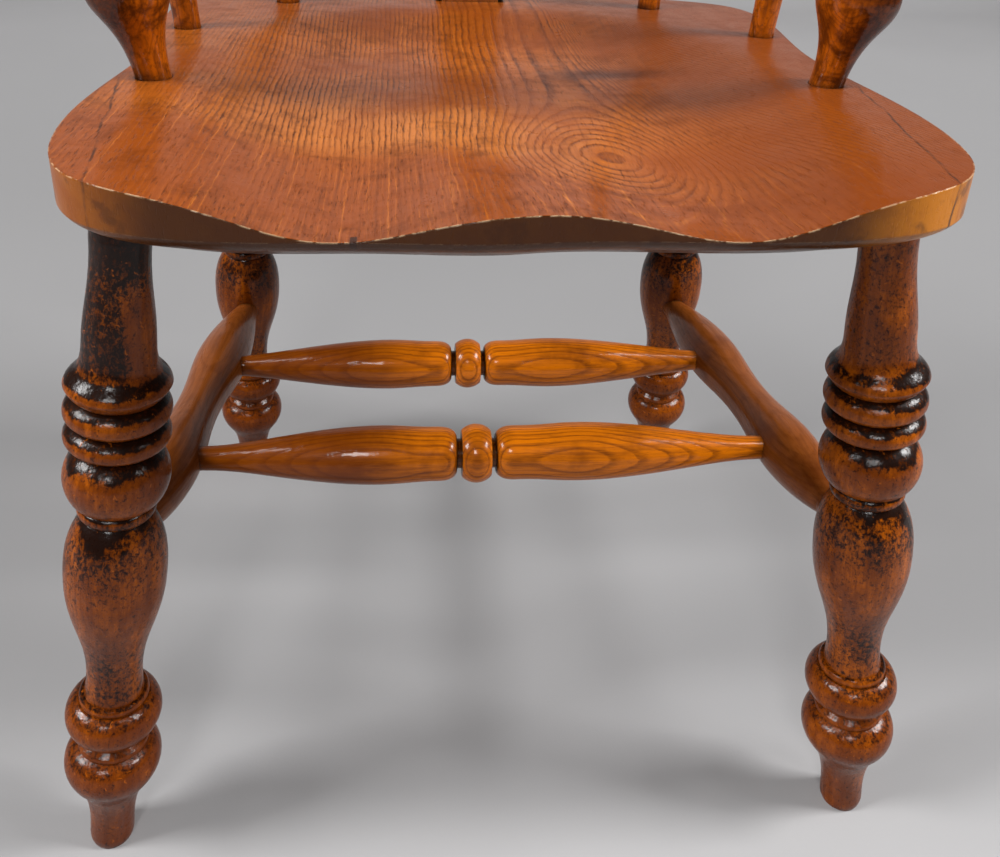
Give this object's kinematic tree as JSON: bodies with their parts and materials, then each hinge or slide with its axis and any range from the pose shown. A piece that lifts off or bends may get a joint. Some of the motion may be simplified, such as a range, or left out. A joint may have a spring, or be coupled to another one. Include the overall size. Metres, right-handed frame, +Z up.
{
  "type": "low-back windsor armchair",
  "caption": "Low-back windsor armchair: saddled solid seat on splayed ring-turned legs with stretchers, turned arm posts, spindles, a pierced splat and a sawn bow arm with a raised crest.",
  "frame": {"origin": "on the floor under the middle of the chair's overall width and depth", "axes": "+X to the sitter's left, which is the right of the front view, +Y to the back, +Z up"},
  "size_m": [0.546, 0.4942, 0.7805],
  "materials": {
    "seat_wood": "shellac-polished elm, reddish brown with a coarse open grain",
    "leg_wood": "dark stained and polished beech, worn through to orange in places",
    "stretcher_wood": "polished ash or elm, golden brown with a ringed grain",
    "post_wood": "polished beech, orange brown with a dark curl in the grain",
    "spindle_wood": "polished beech, orange brown",
    "bow_wood": "polished elm, reddish brown",
    "wedge_wood": "dark end grain of a driven wedge",
    "screw_steel": "slotted countersunk steel screws"
  },
  "bodies": {
    "root": {"seat_board": "seat_wood", "seat_strip_right": "seat_wood", "seat_strip_left": "seat_wood", "crest_rail": "bow_wood", "arm_right": "bow_wood", "arm_left": "bow_wood", "back_splat": "bow_wood", "front_cross_stretcher": "stretcher_wood", "rear_cross_stretcher": "stretcher_wood", "crest_screws": "screw_steel", "front_leg_right": "leg_wood", "rear_leg_right": "leg_wood", "side_stretcher_right": "stretcher_wood", "arm_post_right": "post_wood", "arm_post_wedge_right": "wedge_wood", "side_spindle_right": "spindle_wood", "back_spindle_right": "spindle_wood", "front_leg_left": "leg_wood", "rear_leg_left": "leg_wood", "side_stretcher_left": "stretcher_wood", "arm_post_left": "post_wood", "arm_post_wedge_left": "wedge_wood", "side_spindle_left": "spindle_wood", "back_spindle_left": "spindle_wood"}
  },
  "joints": []
}
